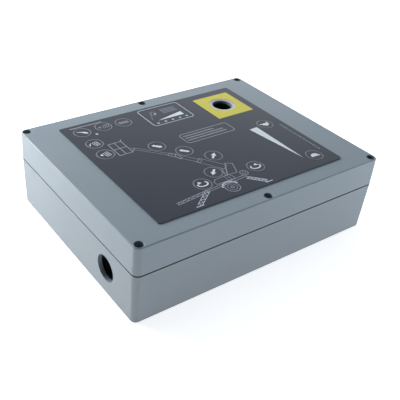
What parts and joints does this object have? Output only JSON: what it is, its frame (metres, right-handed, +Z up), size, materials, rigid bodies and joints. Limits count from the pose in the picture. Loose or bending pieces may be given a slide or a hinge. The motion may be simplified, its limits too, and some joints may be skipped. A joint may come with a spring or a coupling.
{
  "type": "platform control box",
  "caption": "Two-part moulded enclosure with a membrane keypad, a yellow-ringed hole for an emergency stop, a cable gland hole and a control board under its screwed lid.",
  "frame": {"origin": "middle of the base's underside, on the surface that the box stands on", "axes": "+X along the long front side to the right as one reads the keypad, +Y to the back, +Z up out of the lid"},
  "size_m": [0.3, 0.23, 0.0872],
  "materials": {
    "base_plastic": "moulded, fine satin",
    "lid_plastic": "moulded, fine satin",
    "insert_brass": "turned and knurled",
    "gasket_foam": "closed-cell foam",
    "dark_screw": "black zinc",
    "washer_rubber": "smooth",
    "circuit_film": "printed film",
    "spacer_film": "adhesive-coated film",
    "printed_film": "printed behind, fine satin",
    "key_film": "printed behind, embossed rim",
    "yellow_label": "self-adhesive, satin",
    "led_lens": "clear",
    "dome_steel": "stamped spring steel",
    "circuit_board": "solder mask",
    "zinc_screw": "zinc plated",
    "connector_plastic": "moulded nylon",
    "contact_metal": "tinned contact",
    "chip_epoxy": "moulded epoxy",
    "relay_case": "moulded",
    "capacitor_sleeve": "shrink sleeve"
  },
  "bodies": {
    "base": {"base_shell": "base_plastic", "screw_inserts": "insert_brass"},
    "lid": {"lid_shell": "lid_plastic", "lid_gasket": "gasket_foam", "lid_screws": "dark_screw", "screw_washers": "washer_rubber", "keypad_circuit": "circuit_film", "keypad_spacer": "spacer_film", "keypad_film": "printed_film", "stop_label": "yellow_label", "status_leds": "led_lens", "control_board": "circuit_board", "board_screws": "zinc_screw", "tail_socket": "connector_plastic", "cable_header": "connector_plastic", "header_pins": "contact_metal", "controller_chip": "chip_epoxy", "power_relays": "relay_case", "capacitors": "capacitor_sleeve", "dome_start": "dome_steel", "dome_horn": "dome_steel", "dome_cancel": "dome_steel", "dome_basket_left": "dome_steel", "dome_basket_right": "dome_steel", "dome_boom_out": "dome_steel", "dome_boom_in": "dome_steel", "dome_boom_up": "dome_steel", "dome_boom_down": "dome_steel", "dome_turn_left": "dome_steel", "dome_turn_right": "dome_steel", "dome_fast": "dome_steel", "dome_slow": "dome_steel"},
    "key_start": {"key_start": "key_film"},
    "key_horn": {"key_horn": "key_film"},
    "key_cancel": {"key_cancel": "key_film"},
    "key_basket_left": {"key_basket_left": "key_film"},
    "key_basket_right": {"key_basket_right": "key_film"},
    "key_boom_out": {"key_boom_out": "key_film"},
    "key_boom_in": {"key_boom_in": "key_film"},
    "key_boom_up": {"key_boom_up": "key_film"},
    "key_boom_down": {"key_boom_down": "key_film"},
    "key_turn_left": {"key_turn_left": "key_film"},
    "key_turn_right": {"key_turn_right": "key_film"},
    "key_fast": {"key_fast": "key_film"},
    "key_slow": {"key_slow": "key_film"}
  },
  "joints": [
    {"name": "lid_lift", "type": "slide", "parent": "base", "child": "lid", "axis": [0, 0, 1], "range_m": [0, 0.1]},
    {"name": "press_start", "type": "slide", "parent": "lid", "child": "key_start", "axis": [0, 0, -1], "range_m": [0, 0.00035], "stiffness_N_per_m": 8000, "deforming": ["dome_start"]},
    {"name": "press_horn", "type": "slide", "parent": "lid", "child": "key_horn", "axis": [0, 0, -1], "range_m": [0, 0.00035], "stiffness_N_per_m": 8000, "deforming": ["dome_horn"]},
    {"name": "press_cancel", "type": "slide", "parent": "lid", "child": "key_cancel", "axis": [0, 0, -1], "range_m": [0, 0.00035], "stiffness_N_per_m": 8000, "deforming": ["dome_cancel"]},
    {"name": "press_basket_left", "type": "slide", "parent": "lid", "child": "key_basket_left", "axis": [0, 0, -1], "range_m": [0, 0.00035], "stiffness_N_per_m": 8000, "deforming": ["dome_basket_left"]},
    {"name": "press_basket_right", "type": "slide", "parent": "lid", "child": "key_basket_right", "axis": [0, 0, -1], "range_m": [0, 0.00035], "stiffness_N_per_m": 8000, "deforming": ["dome_basket_right"]},
    {"name": "press_boom_out", "type": "slide", "parent": "lid", "child": "key_boom_out", "axis": [0, 0, -1], "range_m": [0, 0.00035], "stiffness_N_per_m": 8000, "deforming": ["dome_boom_out"]},
    {"name": "press_boom_in", "type": "slide", "parent": "lid", "child": "key_boom_in", "axis": [0, 0, -1], "range_m": [0, 0.00035], "stiffness_N_per_m": 8000, "deforming": ["dome_boom_in"]},
    {"name": "press_boom_up", "type": "slide", "parent": "lid", "child": "key_boom_up", "axis": [0, 0, -1], "range_m": [0, 0.00035], "stiffness_N_per_m": 8000, "deforming": ["dome_boom_up"]},
    {"name": "press_boom_down", "type": "slide", "parent": "lid", "child": "key_boom_down", "axis": [0, 0, -1], "range_m": [0, 0.00035], "stiffness_N_per_m": 8000, "deforming": ["dome_boom_down"]},
    {"name": "press_turn_left", "type": "slide", "parent": "lid", "child": "key_turn_left", "axis": [0, 0, -1], "range_m": [0, 0.00035], "stiffness_N_per_m": 8000, "deforming": ["dome_turn_left"]},
    {"name": "press_turn_right", "type": "slide", "parent": "lid", "child": "key_turn_right", "axis": [0, 0, -1], "range_m": [0, 0.00035], "stiffness_N_per_m": 8000, "deforming": ["dome_turn_right"]},
    {"name": "press_fast", "type": "slide", "parent": "lid", "child": "key_fast", "axis": [0, 0, -1], "range_m": [0, 0.00035], "stiffness_N_per_m": 8000, "deforming": ["dome_fast"]},
    {"name": "press_slow", "type": "slide", "parent": "lid", "child": "key_slow", "axis": [0, 0, -1], "range_m": [0, 0.00035], "stiffness_N_per_m": 8000, "deforming": ["dome_slow"]}
  ]
}
